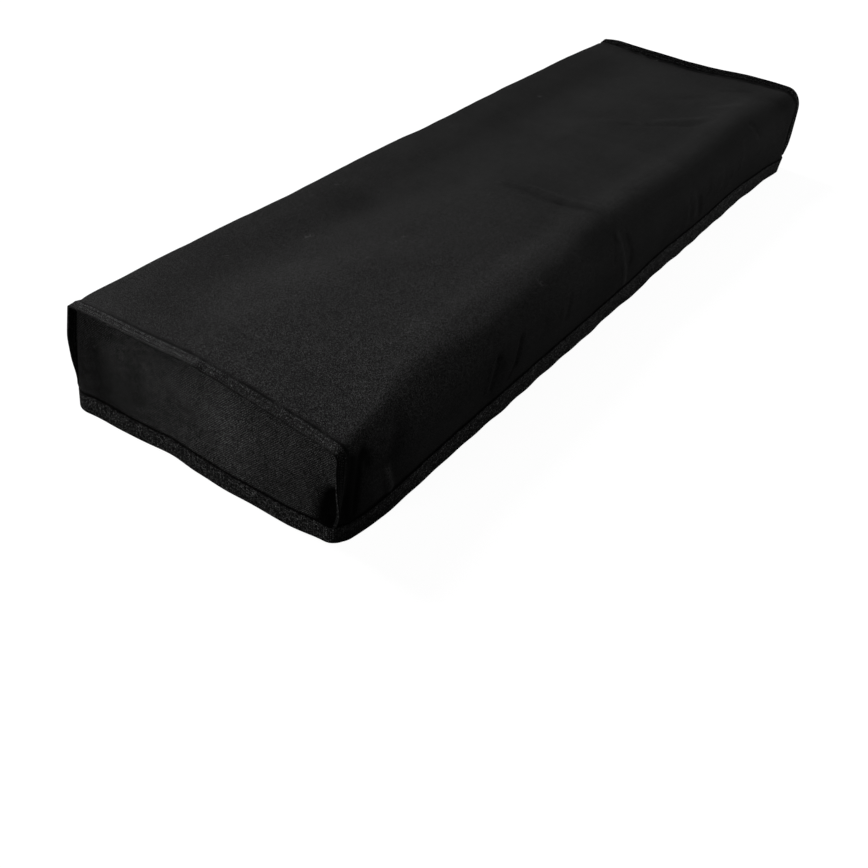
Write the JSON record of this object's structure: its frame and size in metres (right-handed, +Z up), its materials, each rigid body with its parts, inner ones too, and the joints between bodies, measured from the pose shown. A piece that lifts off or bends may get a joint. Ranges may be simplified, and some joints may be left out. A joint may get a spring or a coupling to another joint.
{
  "type": "keyboard dust cover",
  "caption": "Hollow fitted cover of black woven cloth for a long keyboard, open underneath, with raised bound end seams and a ribbed tape round its mouth.",
  "frame": {"origin": "middle of the open mouth, at the height of the lowest edge of its hem", "axes": "+X along the keyboard, with the end that the picture shows nearest at -X; -Y towards the player; +Z up"},
  "size_m": [1.3191, 0.4113, 0.1479],
  "materials": {
    "cloth": "matt black plain weave with a fine grain",
    "tape": "black ribbed woven tape with a slight sheen"
  },
  "bodies": {
    "root": {"wrap_panel": "cloth", "end_panel_left": "cloth", "end_binding_left": "tape", "end_panel_right": "cloth", "end_binding_right": "tape", "hem_binding": "tape"}
  },
  "joints": []
}
